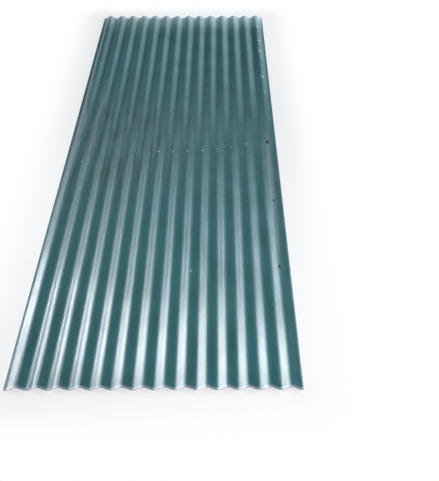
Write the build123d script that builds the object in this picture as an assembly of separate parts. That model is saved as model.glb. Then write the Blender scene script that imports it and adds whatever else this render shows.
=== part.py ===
from build123d import *
import math
import os

# Corrugated fiberglass roofing panel: one sheet of glass mat and resin, moulded in round waves.
# X runs across the waves, Y along them and Z up. The origin is on the floor, under the sheet's middle,
# and the sheet lies on the undersides of its troughs.

# Driving sizes, in millimetres
PITCH = 76.2  # from one crest to the next, three inches
CREST_COUNT = 14
WAVE_DEPTH = 18.0  # from trough to crest, at mid-thickness
BEND_RADIUS = 20.0  # of every crest and trough, at mid-thickness
SHEET_THICKNESS = 2.0
SIDE_LIP = 6.6  # from the middle of the last trough out to the trimmed edge, on each side
LENGTH = 3048.0  # ten feet, along the waves

# Overall width, from trimmed edge to trimmed edge
WIDTH = CREST_COUNT * PITCH + 2 * SIDE_LIP
HALF_PITCH = PITCH / 2
HALF_THICKNESS = SHEET_THICKNESS / 2

# Straight flanks join the bends, so a bend stays a little under the radius that leaves no flank
NO_FLANK_RADIUS = (HALF_PITCH**2 + WAVE_DEPTH**2) / (4 * WAVE_DEPTH)
LARGEST_BEND = 0.98 * NO_FLANK_RADIUS
BEND = min(BEND_RADIUS, LARGEST_BEND)

# A trough's bend centre is above the sheet, the next crest's is below it. The flank touches both
# bends, so it leans by the angle of the line between the centres, less the angle it crosses it at.
CENTRES_DROP = 2 * BEND - WAVE_DEPTH
CENTRES_APART = math.hypot(HALF_PITCH, CENTRES_DROP)
CROSSING_ANGLE = math.degrees(math.acos(2 * BEND / CENTRES_APART))
FLANK_ANGLE = math.degrees(math.atan2(HALF_PITCH, CENTRES_DROP)) - CROSSING_ANGLE

# Heights of the bend centres above the floor
TROUGH_CENTRE = HALF_THICKNESS + BEND
CREST_CENTRE = HALF_THICKNESS + WAVE_DEPTH - BEND

# The sheet is moulded whole waves wider than it is sold, on both sides, and trimmed to width
SPARE_WAVES = math.ceil(SIDE_LIP / PITCH) + 1
MOULDED_WAVES = CREST_COUNT + 2 * SPARE_WAVES


def face_line(side):
    """The line of one face across the moulded sheet: side 1 is the top face, -1 the underside."""
    trough_radius = BEND - side * HALF_THICKNESS
    crest_radius = BEND + side * HALF_THICKNESS
    bends = []
    for wave in range(MOULDED_WAVES):
        trough = ((wave - MOULDED_WAVES / 2) * PITCH, TROUGH_CENTRE)
        crest = (trough[0] + HALF_PITCH, CREST_CENTRE)
        bends.append(CenterArc(trough, trough_radius, 270 - FLANK_ANGLE, 2 * FLANK_ANGLE))
        bends.append(CenterArc(crest, crest_radius, 90 + FLANK_ANGLE, -2 * FLANK_ANGLE))
    flanks = [Line(here @ 1, there @ 0) for here, there in zip(bends, bends[1:])]
    return bends, flanks


def wave_section():
    """The sheet's section across the waves, trimmed to width."""
    top_bends, top_flanks = face_line(1)
    lower_bends, lower_flanks = face_line(-1)
    left_end = Line(top_bends[0] @ 0, lower_bends[0] @ 0)
    right_end = Line(top_bends[-1] @ 1, lower_bends[-1] @ 1)
    outline = Wire([*top_bends, *top_flanks, right_end, *lower_bends, *lower_flanks, left_end])
    reach = 2 * (WAVE_DEPTH + SHEET_THICKNESS)
    return make_face(outline) & Rectangle(WIDTH, 2 * reach)


def corrugated_sheet():
    """The whole sheet: its section drawn out along the waves, and cut square at both ends."""
    return extrude(Plane.XZ * wave_section(), amount=LENGTH / 2, both=True).solid()


os.makedirs("parts", exist_ok=True)
sheet = corrugated_sheet()
sheet.label = "corrugated_sheet"
export_step(sheet, "parts/corrugated_sheet.step")
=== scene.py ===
"""Looks of a corrugated fiberglass roofing panel that lies flat on a pale studio floor.

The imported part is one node, corrugated_sheet. This script models the same sheet with finer bends, a
slightly uneven moulding and its finish, and stands it in the node's place. Lengths are in metres.
X runs across the waves, Y along them and Z up.
"""

import logging
import math
from dataclasses import dataclass
from enum import Enum

import bmesh
import bpy
from mathutils import Euler, Matrix, Vector, noise


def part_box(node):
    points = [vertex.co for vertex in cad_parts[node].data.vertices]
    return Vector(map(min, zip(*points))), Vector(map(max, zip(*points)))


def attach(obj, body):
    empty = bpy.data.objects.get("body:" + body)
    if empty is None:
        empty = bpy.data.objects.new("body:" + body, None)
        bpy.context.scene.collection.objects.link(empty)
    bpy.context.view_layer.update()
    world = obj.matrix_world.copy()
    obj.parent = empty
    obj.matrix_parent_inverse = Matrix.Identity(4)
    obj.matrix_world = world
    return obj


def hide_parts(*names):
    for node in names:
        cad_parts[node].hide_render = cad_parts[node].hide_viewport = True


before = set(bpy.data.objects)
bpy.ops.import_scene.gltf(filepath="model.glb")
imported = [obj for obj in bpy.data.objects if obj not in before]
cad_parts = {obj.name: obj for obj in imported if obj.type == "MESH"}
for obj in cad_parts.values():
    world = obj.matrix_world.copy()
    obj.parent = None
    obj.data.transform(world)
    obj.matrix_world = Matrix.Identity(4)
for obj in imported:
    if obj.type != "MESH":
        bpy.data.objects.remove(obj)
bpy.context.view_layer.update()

NODE = "corrugated_sheet"
BODY = "root"
LAID_FLAT = "laid_flat"
MILLIMETRE = 0.001
Colour = tuple[float, float, float, float]

log = logging.getLogger("panel")


class Face(Enum):
    """Which of a piece's material slots a face of the sheet takes."""

    LAMINATE = 0
    CUT_EDGE = 1


class Mark(Enum):
    """What a small mark on the sheet is."""

    # This kind also marks the bowed line of pale spots across the middle, which are painted highlights, not
    # damage.
    CHIP_AND_GLINT = "pale chip in the resin"
    PIT = "dark pit"


@dataclass(frozen=True)
class Blemish:
    """A small mark on the top of the sheet.

    Attributes:
        x: Place across the waves.
        y: Place along the waves.
        radius: Its radius across the waves.
        kind: What it is.
        drawn_out: How many times longer it is along the waves than across.
    """

    x: float
    y: float
    radius: float
    kind: Mark
    drawn_out: float = 1.0


@dataclass(frozen=True)
class WaveSection:
    """The sheet's section: round bends joined by straight flanks, the same in every wave.

    Attributes:
        width: From one trimmed side edge to the other.
        height: From the floor to the top of a crest.
        base: Height of the lowest face above the floor.
        pitch: From one crest to the next.
        bend_radius: Radius of each bend at mid-thickness.
        thickness: Of the sheet.
    """

    width: float
    height: float
    base: float
    pitch: float = 76.2 * MILLIMETRE
    bend_radius: float = 20.0 * MILLIMETRE
    thickness: float = 2.0 * MILLIMETRE

    @property
    def depth(self) -> float:
        """From trough to crest at mid-thickness."""
        return self.height - self.thickness

    @property
    def crest_count(self) -> int:
        """How many crests fit between the side edges."""
        return round(self.width / self.pitch)

    @property
    def middle(self) -> float:
        """Height of the middle of the waves above the floor."""
        return self.base + self.height / 2

    @property
    def flank_angle(self) -> float:
        """Angle of a flank above the level, where it touches both of its bends."""
        drop = 2 * self.bend_radius - self.depth
        apart = math.hypot(self.pitch / 2, drop)
        return math.atan2(self.pitch / 2, drop) - math.acos(2 * self.bend_radius / apart)

    @property
    def trough_centre(self) -> float:
        """Height of the centre of a trough's bend."""
        return self.base + self.thickness / 2 + self.bend_radius

    @property
    def crest_centre(self) -> float:
        """Height of the centre of a crest's bend."""
        return self.base + self.height - self.thickness / 2 - self.bend_radius

    def trough_x(self, number: int) -> float:
        """Place across the sheet of trough NUMBER, counted from the left edge."""
        return (number - self.crest_count / 2) * self.pitch

    def line(self, x: float, side: float) -> float:
        """Height of one line of the section at a place across the sheet.

        Args:
            x: Place across the sheet.
            side: -1 for the underside, 0 for mid-thickness, 1 for the top face.

        Returns:
            The height above the floor.
        """
        offset = (x - self.trough_x(0)) % self.pitch
        from_trough = min(offset, self.pitch - offset)
        from_crest = self.pitch / 2 - from_trough
        trough_radius = self.bend_radius - side * self.thickness / 2
        crest_radius = self.bend_radius + side * self.thickness / 2
        start = trough_radius * math.sin(self.flank_angle)
        if from_trough < start:
            return self.trough_centre - math.sqrt(trough_radius**2 - from_trough**2)
        if from_crest < crest_radius * math.sin(self.flank_angle):
            return self.crest_centre + math.sqrt(crest_radius**2 - from_crest**2)
        height = self.trough_centre - trough_radius * math.cos(self.flank_angle)
        return height + (from_trough - start) * math.tan(self.flank_angle)

    def easing(self, x: float) -> float:
        """How much higher an even wave of the same pitch and depth lies than the bends and flanks.

        Args:
            x: Place across the sheet.

        Returns:
            The rise, a fraction of a millimetre either way.
        """
        phase = math.tau * (x - self.trough_x(0)) / self.pitch
        return self.middle - self.depth / 2 * math.cos(phase) - self.line(x, 0)

    def laid_flat(self, x: float) -> float:
        """Distance along the section from the left edge's first trough, as if the sheet were flat.

        Args:
            x: Place across the sheet.

        Returns:
            The distance along the middle of the sheet's thickness.
        """
        bend_width = self.bend_radius * math.sin(self.flank_angle)
        bend_length = self.bend_radius * self.flank_angle
        flank_width = self.pitch / 2 - 2 * bend_width
        flank_length = flank_width / math.cos(self.flank_angle)
        half_wave = 2 * bend_length + flank_length
        halves, offset = divmod(x - self.trough_x(0), self.pitch / 2)
        if offset < bend_width:
            along = self.bend_radius * math.asin(offset / self.bend_radius)
        elif offset < bend_width + flank_width:
            along = bend_length + (offset - bend_width) / math.cos(self.flank_angle)
        else:
            rest = max(0.0, self.pitch / 2 - offset)
            along = half_wave - self.bend_radius * math.asin(rest / self.bend_radius)
        return halves * half_wave + along


@dataclass(frozen=True)
class Unevenness:
    """How far the moulding strays from true bends and flanks. It never leaves the true sheet's box.

    Attributes:
        sideways: Most that a wave wanders to one side.
        flattening: Most of its height that a wave loses, as a share.
        side_margin: Stretch beside each side edge where the wander dies out.
        wave_scale: How quickly the wander changes from wave to wave.
        run_scale: How quickly it changes along a wave.
        seed: Which of the possible wanders this is.
    """

    sideways: float = 1.6 * MILLIMETRE
    flattening: float = 0.07
    side_margin: float = 0.05
    wave_scale: float = 7.0
    run_scale: float = 1.9
    seed: float = 4.7

    def move(self, place: Vector, section: WaveSection) -> Vector:
        """Moves one point of the sheet.

        Args:
            place: The point on the true sheet.
            section: The true sheet's section.

        Returns:
            Where the point lies on the uneven sheet.
        """
        inside = section.width / 2 - abs(place.x)
        share = min(1.0, max(0.0, inside / self.side_margin))
        here = Vector((place.x * self.wave_scale, place.y * self.run_scale, self.seed))
        sideways = self.sideways * share * noise.noise(here)
        loss = self.flattening * 0.5 * (1 + noise.noise(here + Vector((0, 0, 9.1))))
        eased = place.z + section.easing(place.x)
        height = section.middle + (eased - section.middle) * (1 - min(1.0, max(0.0, loss)))
        return Vector((place.x + sideways, place.y, height))


class NodeBench:
    """Lays down the nodes of one material, or of the sky."""

    def __init__(self, owner: bpy.types.Material | bpy.types.World) -> None:
        """Empties the owner's node tree.

        Args:
            owner: The material or world.
        """
        owner.use_nodes = True
        self.owner = owner
        self.tree = owner.node_tree
        self.tree.nodes.clear()

    def add(self, kind: str, inputs: dict[str | int, object] | None = None,
            **settings: object) -> bpy.types.Node:
        """Adds a node.

        Args:
            kind: The node's type.
            inputs: What each input takes, by name or number: an output to link from, or a value.
            **settings: Values of its own properties.

        Returns:
            The new node.
        """
        node = self.tree.nodes.new(kind)
        for name, value in settings.items():
            setattr(node, name, value)
        for name, value in (inputs or {}).items():
            if isinstance(value, bpy.types.NodeSocket):
                self.tree.links.new(value, node.inputs[name])
            else:
                node.inputs[name].default_value = value
        return node

    def maths(self, operation: str, first: object, second: object = 0.0,
              clamp: bool = False) -> bpy.types.NodeSocket:
        """Adds a maths node.

        Args:
            operation: What it does.
            first: Its first input.
            second: Its second input.
            clamp: Whether the result stays between 0 and 1.

        Returns:
            Its result.
        """
        inputs = {0: first, 1: second}
        return self.add("ShaderNodeMath", inputs, operation=operation, use_clamp=clamp).outputs[0]

    def vector_maths(self, operation: str, first: object,
                     second: object = (0, 0, 0)) -> bpy.types.NodeSocket:
        """Adds a maths node for vectors.

        Args:
            operation: What it does.
            first: Its first input.
            second: Its second input.

        Returns:
            Its result, which is a number for a length or a distance.
        """
        node = self.add("ShaderNodeVectorMath", {0: first, 1: second}, operation=operation)
        return node.outputs["Value" if operation in ("LENGTH", "DISTANCE") else "Vector"]

    def between(self, value: object, low: float, high: float, start: float = 0.0,
                end: float = 1.0) -> bpy.types.NodeSocket:
        """Maps a value smoothly from one range to another, and holds it there.

        Args:
            value: What is mapped.
            low: Where the value's range starts.
            high: Where it ends.
            start: The result at low.
            end: The result at high.

        Returns:
            The result.
        """
        inputs = dict(enumerate((value, low, high, start, end)))
        return self.add("ShaderNodeMapRange", inputs, interpolation_type="SMOOTHSTEP", clamp=True).outputs[0]

    def grain(self, place: object, scale: float, detail: float = 2.0,
              roughness: float = 0.5) -> bpy.types.NodeSocket:
        """Adds a noise.

        Args:
            place: The coordinates that it reads.
            scale: How many features there are to a unit of them.
            detail: How many finer layers it has.
            roughness: How strong those layers are.

        Returns:
            The noise, from 0 to 1.
        """
        inputs = {"Vector": place, "Scale": scale, "Detail": detail, "Roughness": roughness}
        return self.add("ShaderNodeTexNoise", inputs, noise_dimensions="3D").outputs["Fac"]

    def stretched(self, place: object, size_x: float, size_y: float, turn: float = 0.0,
                  offset: float = 0.0, size_z: float = 1.0) -> bpy.types.NodeSocket:
        """Turns and stretches coordinates, so that a noise on them has long narrow features.

        Args:
            place: The coordinates.
            size_x: The features' size along X, before they are turned.
            size_y: Their size along Y.
            turn: How far they are turned about Z.
            offset: Where in the pattern to start.
            size_z: Their size along Z.

        Returns:
            The new coordinates.
        """
        inputs = {"Vector": place, "Location": (offset, offset, 0), "Rotation": (0, 0, turn),
                  "Scale": (size_x, size_y, size_z)}
        return self.add("ShaderNodeMapping", inputs, vector_type="TEXTURE").outputs[0]

    def tint(self, share: object, under: object, over: object) -> bpy.types.NodeSocket:
        """Mixes two colours.

        Args:
            share: How much of the second shows.
            under: The first colour.
            over: The second colour.

        Returns:
            The mixed colour.
        """
        return self.add("ShaderNodeMix", {0: share, 6: under, 7: over}, data_type="RGBA").outputs[2]

    def bumps(self, height: object, depth: float, normal: object = None) -> bpy.types.NodeSocket:
        """Adds a bump.

        Args:
            height: The height, from 0 to 1.
            depth: What a height of 1 stands for.
            normal: The normal that it changes, if another bump came first.

        Returns:
            The new normal.
        """
        inputs = {"Strength": 1.0, "Distance": depth, "Height": height}
        if normal is not None:
            inputs["Normal"] = normal
        return self.add("ShaderNodeBump", inputs).outputs[0]

    def ray(self, *kinds: str) -> bpy.types.NodeSocket:
        """Tells rays of some kinds from all others.

        Args:
            *kinds: The kinds, as Light Path names them.

        Returns:
            1 for a ray of one of the kinds, 0 for others.
        """
        path = self.add("ShaderNodeLightPath")
        found: object = 0.0
        for kind in kinds:
            found = self.maths("MAXIMUM", found, path.outputs[kind])
        return found

    def blend(self, share: object, under: bpy.types.Node, over: bpy.types.Node) -> bpy.types.Node:
        """Mixes two shaders.

        Args:
            share: How much of the second shows.
            under: The first shader.
            over: The second shader.

        Returns:
            The mixed shader.
        """
        return self.add("ShaderNodeMixShader", {0: share, 1: under.outputs[0], 2: over.outputs[0]})

    def finish(self, shader: bpy.types.Node) -> bpy.types.Material | bpy.types.World:
        """Ends the tree in its output.

        Args:
            shader: The last shader.

        Returns:
            The material or world.
        """
        is_sky = isinstance(self.owner, bpy.types.World)
        self.add("ShaderNodeOutputWorld" if is_sky else "ShaderNodeOutputMaterial",
                 {"Surface": shader.outputs[0]})
        return self.owner


class LaminateBench(NodeBench):
    """Lays down the laminate's nodes, with the places and patterns that its finish reads."""

    def __init__(self) -> None:
        """Starts the material, its places on the sheet and its shared patterns."""
        super().__init__(bpy.data.materials.new("glossy_laminate"))
        self.flat = self.add("ShaderNodeUVMap", uv_map=LAID_FLAT).outputs[0]
        self.place = self.add("ShaderNodeTexCoord").outputs["Object"]
        self.across, self.along, self.up = self.add("ShaderNodeSeparateXYZ", {0: self.place}).outputs
        self.cloud = self.grain(self.place, 5.5, 3.0, 0.55)
        self.fine_cloud = self.grain(self.place, 38.0, 3.0, 0.6)
        self.drawn = self.grain(self.stretched(self.flat, 0.0055, 1.8), 1.0, 1.0)
        self.fine_scored = self.grain(self.stretched(self.flat, 0.0046, 0.20, 0.0, 2.3), 1.0, 1.0, 0.6)
        self.strands = self.chopped_strands()

    def chopped_strands(self) -> bpy.types.NodeSocket:
        """Lays chopped strands in several directions over the flat sheet.

        Returns:
            1 on a strand, 0 off it.
        """
        layers = 7
        found: object = 0.0
        for layer in range(layers):
            turn = math.pi * (layer + 0.3 * math.sin(5.0 * layer)) / layers
            place = self.stretched(self.flat, 0.040, 0.0010, turn, 0.37 * layer)
            one = self.between(self.grain(place, 1.0, 0.0), 0.60, 0.70)
            found = self.maths("MAXIMUM", found, one)
        return found


@dataclass(frozen=True)
class LaminateFinish:
    """Glossy teal resin over chopped glass strands, with a film-smooth face.

    Attributes:
        half_width: From the middle to a side edge.
        half_length: From the middle to a cut end.
        crest_top: Height of the top of a crest above the floor.
        blemishes: The small marks.
        patch: Middle of the worn patch.
        patch_core: How far from there it is fully worn.
        patch_reach: How far from there it ends.
        rubbed_left: Where along the sheet the crests at the left are rubbed most.
        rubbed_right: The same at the right.
        body: Colour of the resin.
        deep: Colour where the resin is thick, and of the painted shade over the left middle.
        weathered: Colour of the worn patch's brownish mottling.
        streaks_and_shade: Colour of dark streaks along the waves, partly real streaks and partly painted
            shade.
        strand: Colour of the glass strands that show through.
        frost: Colour of dry glass at the far end.
        fluff: Colour of the loose glass at its very edge.
        bruise: Colour of resin whitened beside a cut.
        scuff: Colour of rubbed crests.
        chip_and_glint: Colour of a chipped spot, and of the painted highlights in the bowed line across the
            middle.
        pit: Colour of a pit.
    """

    half_width: float
    half_length: float
    crest_top: float
    blemishes: tuple[Blemish, ...]
    patch: tuple[float, float, float] = (-0.42, 0.02, 0)
    patch_core: float = 0.15
    patch_reach: float = 0.72
    rubbed_left: float = 0.20
    rubbed_right: float = -0.40
    body: Colour = (0.031, 0.160, 0.177, 1)
    deep: Colour = (0.009, 0.112, 0.124, 1)
    weathered: Colour = (0.040, 0.090, 0.086, 1)
    streaks_and_shade: Colour = (0.003, 0.026, 0.024, 1)
    strand: Colour = (0.125, 0.245, 0.258, 1)
    frost: Colour = (0.420, 0.560, 0.570, 1)
    fluff: Colour = (0.640, 0.650, 0.650, 1)
    bruise: Colour = (0.330, 0.360, 0.460, 1)
    scuff: Colour = (0.230, 0.330, 0.370, 1)
    chip_and_glint: Colour = (0.400, 0.520, 0.540, 1)
    pit: Colour = (0.006, 0.020, 0.022, 1)

    def blemish_mask(self, bench: LaminateBench, kind: Mark) -> bpy.types.NodeSocket:
        """Finds the small marks of one kind.

        Args:
            bench: The material's nodes.
            kind: The kind of mark.

        Returns:
            1 on a mark, 0 off it.
        """
        ragged = bench.maths("MULTIPLY", bench.grain(bench.place, 420.0, 1.0), 2 * MILLIMETRE)
        found: object = 0.0
        for mark in (b for b in self.blemishes if b.kind is kind):
            shrunk = bench.vector_maths("MULTIPLY", bench.place, (1, 1 / mark.drawn_out, 0))
            apart = bench.vector_maths("DISTANCE", shrunk, (mark.x, mark.y / mark.drawn_out, 0))
            one = bench.between(bench.maths("ADD", apart, ragged), mark.radius * 0.9, mark.radius * 1.5,
                                1.0, 0.0)
            found = bench.maths("MAXIMUM", found, one)
        return found

    def scuffs(self, bench: LaminateBench) -> bpy.types.NodeSocket:
        """Finds the crests near both side edges that are rubbed pale.

        Args:
            bench: The material's nodes.

        Returns:
            How rubbed a place is, from 0 to 1.
        """
        lines = bench.fine_scored
        on_crest = bench.between(bench.up, 0.60 * self.crest_top, 0.95 * self.crest_top)
        left = bench.between(bench.across, -self.half_width + 0.08, -self.half_width + 0.22, 1.0, 0.0)
        along_left = bench.maths("ABSOLUTE", bench.maths("SUBTRACT", bench.along, self.rubbed_left))
        left = bench.maths("MULTIPLY", left, bench.between(along_left, 0.15, 0.60, 1.0, 0.0))
        lined = bench.maths("MULTIPLY", left, bench.between(lines, 0.44, 0.58, 0.10, 0.90))
        right = bench.between(bench.across, self.half_width - 0.09, self.half_width - 0.05)
        along_right = bench.maths("ABSOLUTE", bench.maths("SUBTRACT", bench.along, self.rubbed_right))
        right = bench.maths("MULTIPLY", right, bench.between(along_right, 0.30, 0.65, 1.0, 0.0))
        mottled = bench.maths("MULTIPLY", right, bench.between(lines, 0.35, 0.65, 0.40, 0.90))
        return bench.maths("MULTIPLY", bench.maths("MAXIMUM", lined, mottled), on_crest)

    def resin(self, bench: LaminateBench) -> bpy.types.NodeSocket:
        """Colours the resin, with its streaks, worn patch and scuffs and the glass under it, and paints
        shade over the left middle and into the dark streaks.

        Args:
            bench: The material's nodes.

        Returns:
            The colour.
        """
        # Painted shade: the left side and the middle of the length are tinted towards the deep colour.
        shade_to_the_left = bench.between(bench.across, 0.0, 0.45, 0.60, 0.0)
        shade_mid_length = bench.between(bench.maths("ABSOLUTE", bench.along), 0.5, 1.2, 1.0, 0.0)
        colour = bench.tint(bench.between(bench.cloud, 0.35, 0.70), self.body, self.deep)
        colour = bench.tint(bench.maths("MULTIPLY", shade_to_the_left, shade_mid_length), colour, self.deep)
        colour = bench.tint(bench.between(bench.drawn, 0.45, 0.72, 0.0, 0.35), colour, self.deep)

        from_patch = bench.vector_maths("DISTANCE", bench.place, self.patch)
        worn = bench.between(from_patch, self.patch_core, self.patch_reach, 1.0, 0.0)
        dull = bench.maths("MULTIPLY", worn, bench.between(bench.fine_cloud, 0.42, 0.66))
        colour = bench.tint(bench.maths("MULTIPLY", dull, 0.45), colour, self.weathered)
        # Dark streaks in the worn patch: partly real streaks, partly painted shade.
        streaks_and_shade = bench.grain(bench.stretched(bench.flat, 0.0105, 0.26, 0.0, 7.7), 1.0, 2.0, 0.6)
        dark_streaks_and_shade = bench.maths("MULTIPLY", bench.between(streaks_and_shade, 0.48, 0.60),
                                   bench.between(worn, 0.0, 1.0, 0.10, 0.95))
        pale_streaks = bench.maths("MULTIPLY", bench.between(bench.fine_scored, 0.36, 0.46, 1.0, 0.0),
                                   bench.between(worn, 0.0, 1.0, 0.12, 0.34))
        colour = bench.tint(dark_streaks_and_shade, colour, self.streaks_and_shade)
        colour = bench.tint(pale_streaks, colour, self.strand)
        colour = bench.tint(self.scuffs(bench), colour, self.scuff)
        return bench.tint(bench.maths("MULTIPLY", bench.strands, 0.34), colour, self.strand)

    def dry_glass(self, bench: LaminateBench, from_end: object) -> bpy.types.NodeSocket:
        """Finds the glass that lacks resin, towards the far end.

        Args:
            bench: The material's nodes.
            from_end: Distance from the far end.

        Returns:
            How dry a place is, from 0 to 1.
        """
        ragged = bench.grain(bench.stretched(bench.flat, 0.008, 0.09), 1.0, 3.0)
        ragged_end = bench.maths("ADD", from_end, bench.maths("MULTIPLY", ragged, 0.10))
        frosted = bench.maths("POWER", bench.between(ragged_end, 0.060, 0.360, 1.0, 0.0), 2.0)
        to_the_right = bench.between(bench.across, -0.5, 0.4, 0.6, 1.0)
        matted = bench.maths("MULTIPLY", bench.between(bench.strands, 0.0, 1.0, 0.72, 1.0), to_the_right)
        return bench.maths("MULTIPLY", frosted, matted)

    def bruised(self, bench: LaminateBench) -> bpy.types.NodeSocket:
        """Finds the resin that the saw whitened, along all four edges.

        Args:
            bench: The material's nodes.

        Returns:
            1 on whitened resin, 0 off it.
        """
        from_end = bench.maths("SUBTRACT", self.half_length, bench.maths("ABSOLUTE", bench.along))
        from_side = bench.maths("SUBTRACT", self.half_width, bench.maths("ABSOLUTE", bench.across))
        wavering = bench.maths("MULTIPLY", bench.grain(bench.place, 160.0, 2.0), 5 * MILLIMETRE)
        ends = bench.between(bench.maths("ADD", from_end, wavering), 7 * MILLIMETRE, 16 * MILLIMETRE,
                             1.0, 0.0)
        sides = bench.between(bench.maths("ADD", from_side, wavering), 2 * MILLIMETRE, 6 * MILLIMETRE,
                              1.0, 0.0)
        return bench.maths("MAXIMUM", ends, sides)

    def relief(self, bench: LaminateBench, dry: object) -> bpy.types.NodeSocket:
        """Raises the drawn lines, the strands and the dry glass a little.

        Args:
            bench: The material's nodes.
            dry: How dry the glass is.

        Returns:
            The normal.
        """
        broad_drawn = bench.grain(bench.stretched(bench.flat, 0.018, 2.6, 0.0, 3.1), 1.0, 1.0)
        fine_drawn = bench.grain(bench.stretched(bench.flat, 0.0034, 0.9, 0.0, 5.3), 1.0, 1.0)
        rough_glass = bench.maths("MULTIPLY", bench.fine_cloud, dry)
        normal = None
        for height, depth in ((broad_drawn, 0.5), (bench.drawn, 0.25), (fine_drawn, 0.16),
                              (bench.strands, 0.012), (rough_glass, 0.6)):
            normal = bench.bumps(height, depth * MILLIMETRE, normal)
        return normal

    def material(self) -> bpy.types.Material:
        """Makes the material.

        Returns:
            The material.
        """
        bench = LaminateBench()
        from_far_end = bench.maths("SUBTRACT", self.half_length, bench.along)
        dry = self.dry_glass(bench, from_far_end)
        fuzz = bench.maths("MULTIPLY", bench.grain(bench.place, 120.0, 3.0, 0.7), 0.050)
        fuzzy = bench.between(bench.maths("ADD", from_far_end, fuzz), 0.042, 0.064, 1.0, 0.0)
        # Pale spots: chipped ones, and painted highlights in a bowed line across the middle.
        chips_and_glints = self.blemish_mask(bench, Mark.CHIP_AND_GLINT)
        pits = self.blemish_mask(bench, Mark.PIT)
        colour = bench.tint(dry, self.resin(bench), self.frost)
        colour = bench.tint(bench.maths("MULTIPLY", fuzzy, 0.85), colour, self.fluff)
        colour = bench.tint(bench.maths("MULTIPLY", self.bruised(bench), 0.9), colour, self.bruise)
        colour = bench.tint(chips_and_glints, colour, self.chip_and_glint)
        colour = bench.tint(pits, colour, self.pit)

        marked = bench.maths("MULTIPLY", bench.maths("MAXIMUM", chips_and_glints, pits), 0.5)
        matt = bench.maths("MAXIMUM", bench.maths("MULTIPLY", dry, 0.45), marked)
        gloss = bench.maths("ADD", bench.between(bench.cloud, 0.3, 0.75, 0.40, 0.52),
                            bench.between(bench.drawn, 0.4, 0.75, 0.0, 0.10))

        return bench.finish(bench.add("ShaderNodeBsdfPrincipled", {
            "Base Color": colour, "Roughness": bench.maths("ADD", gloss, matt, clamp=True),
            "Normal": self.relief(bench, dry), "IOR": 1.55, "Coat Weight": 0.6, "Coat Roughness": 0.18}))


@dataclass(frozen=True)
class CutEdgeFinish:
    """A sawn edge: layers of glass strands end-on in whitened resin.

    Attributes:
        glass: Colour of the cut strands.
        resin: Colour of the resin between them.
        layer: Thickness of one layer of strands.
    """

    glass: Colour = (0.46, 0.48, 0.56, 1)
    resin: Colour = (0.16, 0.21, 0.25, 1)
    layer: float = 0.25 * MILLIMETRE

    def material(self) -> bpy.types.Material:
        """Makes the material.

        Returns:
            The material.
        """
        bench = NodeBench(bpy.data.materials.new("sawn_edge"))
        place = bench.add("ShaderNodeTexCoord").outputs["Object"]
        torn = bench.grain(bench.stretched(place, 2 * MILLIMETRE, 2 * MILLIMETRE), 1.0, 2.0)
        layered = bench.stretched(place, 3 * MILLIMETRE, 3 * MILLIMETRE, size_z=self.layer)
        strata = bench.grain(layered, 1.0, 2.0, 0.6)
        colour = bench.tint(bench.between(strata, 0.38, 0.60), self.resin, self.glass)
        return bench.finish(bench.add("ShaderNodeBsdfPrincipled", {
            "Base Color": colour, "Roughness": bench.between(torn, 0.3, 0.7, 0.6, 0.9),
            "Normal": bench.bumps(strata, 0.2 * MILLIMETRE)}))


@dataclass(frozen=True)
class GlassFinish:
    """Loose glass strands, pale and slightly shiny.

    Attributes:
        pale: Colour of clean glass.
        stained: Colour where resin clings to it.
    """

    pale: Colour = (0.62, 0.66, 0.70, 1)
    stained: Colour = (0.24, 0.36, 0.38, 1)

    def material(self) -> bpy.types.Material:
        """Makes the material.

        Returns:
            The material.
        """
        bench = NodeBench(bpy.data.materials.new("loose_glass"))
        place = bench.add("ShaderNodeTexCoord").outputs["Object"]
        clinging = bench.between(bench.grain(place, 180.0, 2.0), 0.42, 0.62)
        return bench.finish(bench.add("ShaderNodeBsdfPrincipled", {
            "Base Color": bench.tint(clinging, self.pale, self.stained),
            "Roughness": bench.between(clinging, 0.0, 1.0, 0.45, 0.25)}))


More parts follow.
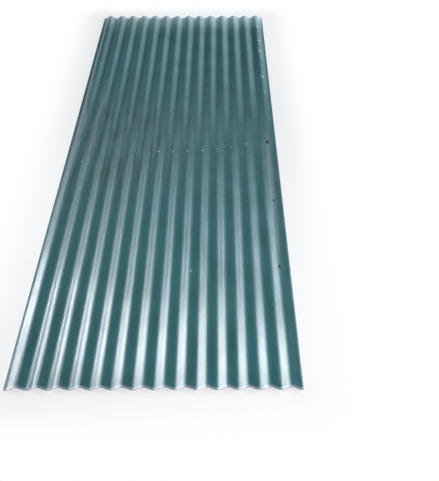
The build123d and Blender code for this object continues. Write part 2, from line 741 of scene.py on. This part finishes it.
@dataclass
class FiberglassSheet:
    """The whole sheet, as thick as the real one, with its cut edges.

    Attributes:
        section: Its section across the waves.
        length: Along the waves.
        unevenness: How it strays from true waves.
        bend_steps: Straight steps in each half of a bend.
        flank_steps: Steps in a flank.
        stations: Cuts across the length.
        underside_shift: How far the underside's flat places are moved, so that its pattern is another.
    """

    section: WaveSection
    length: float
    unevenness: Unevenness = Unevenness()
    bend_steps: int = 6
    flank_steps: int = 2
    stations: int = 72
    underside_shift: float = 5.0

    def turn(self, mesh: bmesh.types.BMesh, tip: bmesh.types.BMVert, centre: tuple[float, float],
             angle: float, steps: int) -> bmesh.types.BMVert:
        """Draws the line on round a bend.

        Args:
            mesh: The mesh.
            tip: The line's end.
            centre: The bend's centre, across and up.
            angle: How far to turn about the Y axis.
            steps: How many steps it takes.

        Returns:
            The line's new end.
        """
        made = bmesh.ops.spin(mesh, geom=[tip], cent=(centre[0], tip.co.y, centre[1]), axis=(0, 1, 0),
                              dvec=(0, 0, 0), angle=angle, space=Matrix.Identity(4), steps=steps,
                              use_merge=False, use_normal_flip=False, use_duplicate=False)
        return next(g for g in made["geom_last"] if isinstance(g, bmesh.types.BMVert))

    def run(self, mesh: bmesh.types.BMesh, tip: bmesh.types.BMVert,
            end: tuple[float, float]) -> bmesh.types.BMVert:
        """Draws the line straight on along a flank.

        Args:
            mesh: The mesh.
            tip: The line's end.
            end: Where the flank ends, across and up.

        Returns:
            The line's new end.
        """
        step = (Vector((end[0], tip.co.y, end[1])) - tip.co) / self.flank_steps
        for _ in range(self.flank_steps):
            made = bmesh.ops.extrude_vert_indiv(mesh, verts=[tip])
            tip = made["verts"][0]
            bmesh.ops.translate(mesh, verts=[tip], vec=step)
        return tip

    def one_wave(self, mesh: bmesh.types.BMesh, number: int, y: float) -> None:
        """Draws the top face's line through one wave, from trough to trough.

        Args:
            mesh: The mesh.
            number: The trough that it starts in.
            y: Where along the sheet the line lies.
        """
        section = self.section
        lean = section.flank_angle
        tight = section.bend_radius - section.thickness / 2
        wide = section.bend_radius + section.thickness / 2
        start = section.trough_x(number)
        trough = (start, section.trough_centre)
        crest = (start + section.pitch / 2, section.crest_centre)
        next_trough = (start + section.pitch, section.trough_centre)
        crest_left = (crest[0] - wide * math.sin(lean), crest[1] + wide * math.cos(lean))
        trough_left = (next_trough[0] - tight * math.sin(lean), next_trough[1] - tight * math.cos(lean))

        tip = mesh.verts.new((trough[0], y, trough[1] - tight))
        tip = self.turn(mesh, tip, trough, -lean, self.bend_steps)
        tip = self.run(mesh, tip, crest_left)
        tip = self.turn(mesh, tip, crest, 2 * lean, 2 * self.bend_steps)
        tip = self.run(mesh, tip, trough_left)
        self.turn(mesh, tip, next_trough, -lean, self.bend_steps)

    def build(self) -> bpy.types.Object:
        """Models the sheet.

        Returns:
            The sheet as an object.
        """
        section = self.section
        mesh = bmesh.new()
        for number in range(-1, section.crest_count + 1):
            self.one_wave(mesh, number, -self.length / 2)
        bmesh.ops.remove_doubles(mesh, verts=mesh.verts[:], dist=0.01 * MILLIMETRE)
        drawn = bmesh.ops.extrude_edge_only(mesh, edges=mesh.edges[:])
        moved = [g for g in drawn["geom"] if isinstance(g, bmesh.types.BMVert)]
        bmesh.ops.translate(mesh, verts=moved, vec=(0, self.length, 0))
        lengthwise = [e for e in mesh.edges if abs(e.verts[0].co.y - e.verts[1].co.y) > self.length / 2]
        bmesh.ops.subdivide_edges(mesh, edges=lengthwise, cuts=self.stations, use_grid_fill=True)
        bmesh.ops.recalc_face_normals(mesh, faces=mesh.faces[:])
        if sum(face.normal.z for face in mesh.faces) < 0:
            bmesh.ops.reverse_faces(mesh, faces=mesh.faces[:])
        bmesh.ops.solidify(mesh, geom=mesh.faces[:], thickness=section.thickness)
        for side in (-1, 1):
            self.trim(mesh, side)
        bmesh.ops.recalc_face_normals(mesh, faces=mesh.faces[:])
        self.lay_out(mesh)
        self.sort_faces(mesh)
        for vert in mesh.verts:
            vert.co = self.unevenness.move(vert.co, section)
        data = bpy.data.meshes.new("fiberglass_sheet")
        mesh.to_mesh(data)
        mesh.free()
        piece = bpy.data.objects.new("fiberglass_sheet", data)
        bpy.context.scene.collection.objects.link(piece)
        return piece

    def trim(self, mesh: bmesh.types.BMesh, side: int) -> None:
        """Saws the sheet to width on one side, and closes the sawn edge.

        Args:
            mesh: The mesh.
            side: -1 for the left side, 1 for the right.
        """
        place = side * self.section.width / 2
        bmesh.ops.bisect_plane(mesh, geom=mesh.verts[:] + mesh.edges[:] + mesh.faces[:],
                               dist=0.001 * MILLIMETRE, plane_co=(place, 0, 0), plane_no=(side, 0, 0),
                               clear_outer=True)
        rails = [edge for edge in mesh.edges if edge.is_boundary
                 and abs(edge.verts[0].co.y - edge.verts[1].co.y) > self.section.thickness]
        bmesh.ops.bridge_loops(mesh, edges=rails)

    def lay_out(self, mesh: bmesh.types.BMesh) -> None:
        """Gives every corner its place on the sheet laid flat, in metres."""
        layer = mesh.loops.layers.uv.new(LAID_FLAT)
        for face in mesh.faces:
            shift = self.underside_shift if face.normal.z < 0 else 0.0
            for loop in face.loops:
                place = loop.vert.co
                loop[layer].uv = (self.section.laid_flat(place.x) + shift, place.y)

    def sort_faces(self, mesh: bmesh.types.BMesh) -> None:
        """Sets each face's material slot and shading, and keeps the cut edges sharp."""
        for face in mesh.faces:
            cut = abs(face.normal.z) < 0.5
            face.material_index = (Face.CUT_EDGE if cut else Face.LAMINATE).value
            face.smooth = True
        for edge in mesh.edges:
            slots = {face.material_index for face in edge.link_faces}
            edge.smooth = len(slots) == 1

    def dress(self, piece: bpy.types.Object, laminate: LaminateFinish, cut_edge: CutEdgeFinish) -> None:
        """Gives the sheet its finishes and its place in the frame.

        Args:
            piece: The sheet.
            laminate: Finish of its faces.
            cut_edge: Finish of its edges.
        """
        piece.data.materials.append(laminate.material())
        piece.data.materials.append(cut_edge.material())
        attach(piece, BODY)
        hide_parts(NODE)


@dataclass
class StrayStrands:
    """Glass strands that the saw pulled loose at the cut ends. They curl down under the sheet.

    Attributes:
        section: The sheet's section.
        length: The sheet's length.
        tufts: Places across the near end where long strands hang.
        spacing: From one short strand to the next along a cut end.
        inset: From a cut end to the strands' roots.
        clearance: Least height of a strand's tip above the floor.
        hairs: How many long strands a tuft has.
        hair_gap: From one of them to the next.
        radius: Of a strand.
        sides: Of a strand's section.
        steps: Along a strand.
    """

    section: WaveSection
    length: float
    tufts: tuple[float, ...]
    spacing: float = 9 * MILLIMETRE
    inset: float = 0.6 * MILLIMETRE
    clearance: float = 2 * MILLIMETRE
    hairs: int = 6
    hair_gap: float = 0.7 * MILLIMETRE
    radius: float = 0.16 * MILLIMETRE
    sides: int = 5
    steps: int = 7

    def strand(self, mesh: bmesh.types.BMesh, root: Vector, curl: float, reach: float,
               heading: float) -> None:
        """Adds one strand as a tube bent in an arc.

        Args:
            mesh: The mesh.
            root: Where it leaves the sheet.
            curl: Radius of its arc.
            reach: Length of its arc.
            heading: Which way it curls, as an angle about the Z axis from X.
        """
        turned = Matrix.Rotation(heading, 4, "Z")
        ring = bmesh.ops.create_circle(mesh, cap_ends=True, segments=self.sides, radius=self.radius,
                                       matrix=Matrix.Translation(root))
        centre = root + turned @ Vector((curl, 0, 0))
        axis = turned @ Vector((0, 1, 0))
        cap = {face for vert in ring["verts"] for face in vert.link_faces}
        geometry = list(cap) + [e for f in cap for e in f.edges] + ring["verts"]
        bmesh.ops.spin(mesh, geom=geometry, cent=centre, axis=axis, dvec=(0, 0, 0),
                       angle=-reach / curl, space=Matrix.Identity(4), steps=self.steps,
                       use_merge=False, use_normal_flip=False, use_duplicate=False)

    def build(self) -> bpy.types.Object:
        """Models all the strands as one mesh.

        Returns:
            The strands as an object.
        """
        mesh = bmesh.new()
        end_y = self.length / 2 - self.inset
        for end in (-1, 1):
            for number in range(1, int(self.section.width / self.spacing)):
                shake = noise.noise(Vector((number * 1.37, end * 3.1, 0.5)))
                x = -self.section.width / 2 + (number + 0.4 * shake) * self.spacing
                underside = self.section.line(x, -1)
                room = underside - self.clearance
                if room < self.clearance:
                    continue
                heading = math.pi / 2 * -end + shake * 1.2
                reach = min(room, (4 + 9 * abs(shake)) * MILLIMETRE)
                curl = (7 + 12 * abs(shake)) * MILLIMETRE
                self.strand(mesh, Vector((x, end * end_y, underside)), curl, reach, heading)
        for number, tuft_x in enumerate(self.tufts):
            for hair in range(self.hairs):
                shake = noise.noise(Vector((number * 2.7, hair * 1.9, 8.5)))
                x = tuft_x + (hair - (self.hairs - 1) / 2) * self.hair_gap
                underside = self.section.line(x, -1)
                heading = math.pi / 2 + shake * 2.2
                curl = (14 + 10 * abs(shake)) * MILLIMETRE
                self.strand(mesh, Vector((x, -end_y, underside)), curl, underside - self.clearance, heading)
        bmesh.ops.recalc_face_normals(mesh, faces=mesh.faces[:])
        for face in mesh.faces:
            face.smooth = True
        data = bpy.data.meshes.new("stray_strands")
        mesh.to_mesh(data)
        mesh.free()
        piece = bpy.data.objects.new("stray_strands", data)
        bpy.context.scene.collection.objects.link(piece)
        return piece

    def dress(self, piece: bpy.types.Object, glass: GlassFinish) -> None:
        """Gives the strands their finish and their place in the frame.

        Args:
            piece: The strands.
            glass: Their finish.
        """
        piece.data.materials.append(glass.material())
        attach(piece, BODY)


@dataclass(frozen=True)
class Softbox:
    """One large soft lamp.

    Attributes:
        name: The lamp's name.
        place: Where its middle hangs.
        target: What it points at.
        size: Its width and height.
        radiance: Brightness of its face, where 1 is a white card in plain light.
        fan: Angle that its light fans out over, under 180 degrees. A grid narrows it.
        colour: Of its light, cool like a cloudy sky.
    """

    name: str
    place: Vector
    target: Vector
    size: tuple[float, float]
    radiance: float
    fan: float
    colour: tuple[float, float, float] = (0.93, 0.955, 1.0)

    def hang(self) -> None:
        """Hangs the lamp."""
        lamp = bpy.data.lights.new(self.name, "AREA")
        lamp.shape = "RECTANGLE"
        lamp.color = self.colour
        lamp.size, lamp.size_y = self.size
        lamp.spread = math.radians(self.fan)
        half = lamp.spread / 2
        narrowed = 1 - half / math.tan(half)
        lamp.energy = self.radiance * narrowed * math.pi * self.size[0] * self.size[1]
        holder = bpy.data.objects.new(self.name, lamp)
        holder.location = self.place
        holder.rotation_euler = (self.target - self.place).to_track_quat("-Z", "Y").to_euler()
        bpy.context.scene.collection.objects.link(holder)


@dataclass
class Studio:
    """A pale floor, soft lamps, the sky and the camera.

    Attributes:
        sheet_half: Half the sheet's width and half its length.
        floor_size: Side of the floor.
        shadow_reach: How far beside the sheet the floor is all white.
        shadow_fade: How white it already is right beside the sheet, as a share.
        eye: Where the camera stands.
        look_down: Its angle below the horizon, in degrees.
        look_right: Its angle to the right of the waves, in degrees.
        focal_pixels: Its focal length, in pixels of the picture.
        longer_side: Longer side of the picture, in pixels.
    """

    sheet_half: tuple[float, float]
    floor_size: float = 40.0
    shadow_reach: float = 0.22
    shadow_fade: float = 0.62
    eye: Vector = Vector((0.231, -2.955, 2.052))
    look_down: float = 42.70
    look_right: float = 0.23
    focal_pixels: float = 680.0
    longer_side: float = 481.0

    def lay_floor(self) -> None:
        """Lays the floor, which keeps the sheet's shadow and fades to white further out."""
        mesh = bmesh.new()
        bmesh.ops.create_grid(mesh, x_segments=1, y_segments=1, size=self.floor_size / 2)
        data = bpy.data.meshes.new("studio_floor")
        mesh.to_mesh(data)
        mesh.free()
        floor = bpy.data.objects.new("studio_floor", data)
        bpy.context.scene.collection.objects.link(floor)
        data.materials.append(self.floor_finish())

    def floor_finish(self) -> bpy.types.Material:
        """Makes the floor's material.

        Returns:
            The material.
        """
        bench = NodeBench(bpy.data.materials.new("pale_floor"))
        place = bench.add("ShaderNodeTexCoord").outputs["Object"]
        mottle = bench.grain(place, 9.0, 3.0)
        card = bench.add("ShaderNodeBsdfDiffuse", {
            "Color": bench.tint(mottle, (0.86, 0.86, 0.86, 1), (0.89, 0.89, 0.89, 1))})
        glow = bench.add("ShaderNodeEmission", {"Color": (1, 1, 1, 1)})
        outside = bench.vector_maths("SUBTRACT", bench.vector_maths("ABSOLUTE", place),
                                     (*self.sheet_half, 0))
        away = bench.vector_maths("LENGTH", bench.vector_maths("MAXIMUM", outside))
        far = bench.between(away, 0.0, self.shadow_reach, self.shadow_fade, 1.0)
        seen = bench.ray("Is Camera Ray", "Is Glossy Ray", "Is Transmission Ray")
        return bench.finish(bench.blend(bench.maths("MULTIPLY", seen, far), card, glow))

    def hang_lamps(self) -> None:
        """Hangs the lamps."""
        near_end = Vector((0.1, -1.9, 0.0))
        near_left = Vector((-0.4, -1.5, 0.0))
        near_right = Vector((0.68, -1.3, 0.0))
        far_right = Vector((0.75, -0.6, 0.0))
        far_half = Vector((-0.1, 1.1, 0.0))
        far_middle = Vector((0.0, 1.5, 0.0))
        middle = Vector((0.0, -0.5, 0.0))
        cool = (0.76, 0.93, 1.0)
        for lamp in (
            Softbox("window_sill", Vector((-3.3, 0.7, 0.60)), near_end, (1.6, 1.1), 11.2, 64.0),
            Softbox("window_low", Vector((-3.3, 1.1, 1.35)), near_end, (1.4, 0.9), 9.3, 48.0),
            Softbox("left_pane", Vector((-3.3, 1.5, 2.5)), near_left, (1.0, 1.0), 10.4, 40.0),
            Softbox("window_pane", Vector((-3.3, 1.75, 1.8)), near_right, (1.0, 0.7), 20.5, 26.0),
            Softbox("middle_pane", Vector((-3.3, 2.1, 2.75)), near_right, (1.0, 0.7), 28.0, 26.0),
            Softbox("upper_pane", Vector((-3.0, 2.5, 3.7)), near_right, (1.0, 0.7), 40.0, 26.0),
            Softbox("window_far", Vector((-3.3, 3.7, 2.8)), far_right, (1.3, 1.5), 11.5, 22.0, cool),
            Softbox("window_beyond", Vector((-2.8, 5.6, 4.0)), far_right, (1.4, 1.4), 3.0, 22.0, cool),
            Softbox("window_high", Vector((-2.1, 2.5, 4.5)), near_right, (1.2, 1.2), 7.6, 50.0),
            Softbox("window_top", Vector((-1.1, 1.0, 4.1)), near_end, (1.6, 2.0), 7.0, 60.0),
            Softbox("ceiling_far", Vector((0.3, 1.0, 4.4)), far_middle, (1.6, 1.2), 16.5, 56.0, cool),
            Softbox("side_right", Vector((3.0, 2.2, 1.1)), far_half, (1.6, 0.9), 23.0, 46.0, cool),
            Softbox("far_end", Vector((1.8, 5.6, 1.3)), far_half, (2.8, 2.1), 1.0, 120.0, cool),
            Softbox("far_high", Vector((0.9, 5.8, 4.8)), middle, (3.2, 1.6), 0.5, 90.0, cool),
            Softbox("front_right", Vector((2.4, -3.4, 2.6)), near_right, (1.6, 1.2), 16.0, 46.0),
            Softbox("behind_camera", Vector((1.2, -4.8, 4.4)), middle, (4.0, 3.0), 3.2, 100.0),
        ):
            lamp.hang()

    def set_sky(self) -> None:
        """Sets a dim sky, white to the camera and, low above the horizon, in reflections."""
        bench = NodeBench(bpy.data.worlds.new("pale_sky"))
        direction = bench.add("ShaderNodeTexCoord").outputs["Generated"]
        up = bench.add("ShaderNodeSeparateXYZ", {0: direction}).outputs["Z"]
        sky = bench.add("ShaderNodeBackground", {
            "Color": (0.74, 0.93, 1.0, 1), "Strength": bench.between(up, 0.3, 1.0, 0.01, 0.13)})
        white = bench.add("ShaderNodeBackground", {"Color": (1, 1, 1, 1)})
        low_down = bench.between(up, 0.04, 0.14, 1.0, 0.0)
        mirrored = bench.maths("MULTIPLY", bench.ray("Is Glossy Ray", "Is Transmission Ray"), low_down)
        seen = bench.maths("MAXIMUM", bench.ray("Is Camera Ray"), mirrored)
        bpy.context.scene.world = bench.finish(bench.blend(seen, sky, white))

    def set_camera(self) -> None:
        """Stands the camera where the photograph was taken from."""
        data = bpy.data.cameras.new("camera")
        data.sensor_width = 36.0
        data.lens = data.sensor_width * self.focal_pixels / self.longer_side
        data.clip_end = 100.0
        camera = bpy.data.objects.new("camera", data)
        camera.location = self.eye
        tilt = math.radians(90 - self.look_down)
        camera.rotation_euler = Euler((tilt, 0, -math.radians(self.look_right)))
        bpy.context.scene.collection.objects.link(camera)
        bpy.context.scene.camera = camera
        bpy.context.scene.view_settings.view_transform = "Standard"


def small_marks(section: WaveSection) -> tuple[Blemish, ...]:
    """Gives the small marks: a bowed line of pale spots across the middle, which are painted highlights,
    nicks down the right side, and strays.

    Args:
        section: The sheet's section.

    Returns:
        The marks.
    """
    # Painted highlights: a bowed line of pale spots in the troughs across the middle, coloured like the
    # chipped spots.
    glint_row_y, straight_to, bow = -0.055, 7, 2.7 * MILLIMETRE
    glint_row = ((6, 2.5, 6.2), (7, 0.0, 4.4), (8, 2.5, 6.2), (9, 2.5, 6.2), (10, 0.0, 4.4), (11, 0.0, 4.4),
           (12, 2.5, 6.2))
    nick_x, stagger = section.width / 2 - 38 * MILLIMETRE, 5 * MILLIMETRE
    nicks = ((1.36, 9), (1.30, 6), (1.16, 10), (1.12, 6), (1.01, 9), (0.84, 5), (0.69, 9), (0.52, 6))
    strays = ((0.118, -0.94, 5), (0.40, -0.87, 2), (-0.459, -0.14, 4))
    pits = ((section.trough_x(13) + 36 * MILLIMETRE, 0.005, 7, 2.0), (0.496, -0.475, 5, 1.8),
            (0.492, -0.915, 6, 1.5))
    marks = [Blemish(section.trough_x(trough) + aside * MILLIMETRE,
                     glint_row_y + bow * (trough - straight_to) ** 2, size * MILLIMETRE, Mark.CHIP_AND_GLINT)
             for trough, aside, size in glint_row]
    marks += [Blemish(nick_x + stagger * (number % 2), y, size * MILLIMETRE, Mark.CHIP_AND_GLINT)
              for number, (y, size) in enumerate(nicks)]
    marks += [Blemish(x, y, size * MILLIMETRE, Mark.CHIP_AND_GLINT) for x, y, size in strays]
    marks += [Blemish(x, y, size * MILLIMETRE, Mark.PIT, drawn_out) for x, y, size, drawn_out in pits]
    return tuple(marks)


def main() -> None:
    """Builds the sheet, its strands and the studio."""
    logging.basicConfig(level=logging.INFO, format="%(message)s")
    low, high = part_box(NODE)
    section = WaveSection(width=high.x - low.x, height=high.z - low.z, base=low.z)
    length = high.y - low.y

    sheet = FiberglassSheet(section, length)
    piece = sheet.build()
    laminate = LaminateFinish(section.width / 2, length / 2, high.z, small_marks(section))
    sheet.dress(piece, laminate, CutEdgeFinish())
    log.info("%s: %d faces, %d crests", piece.name, len(piece.data.polygons), section.crest_count)

    strands = StrayStrands(section, length, tufts=(0.205, 0.42, 0.492))
    hairs = strands.build()
    strands.dress(hairs, GlassFinish())
    log.info("%s: %d faces", hairs.name, len(hairs.data.polygons))

    studio = Studio(sheet_half=(section.width / 2, length / 2))
    studio.lay_floor()
    studio.hang_lamps()
    studio.set_sky()
    studio.set_camera()


if __name__ == "__main__":
    main()
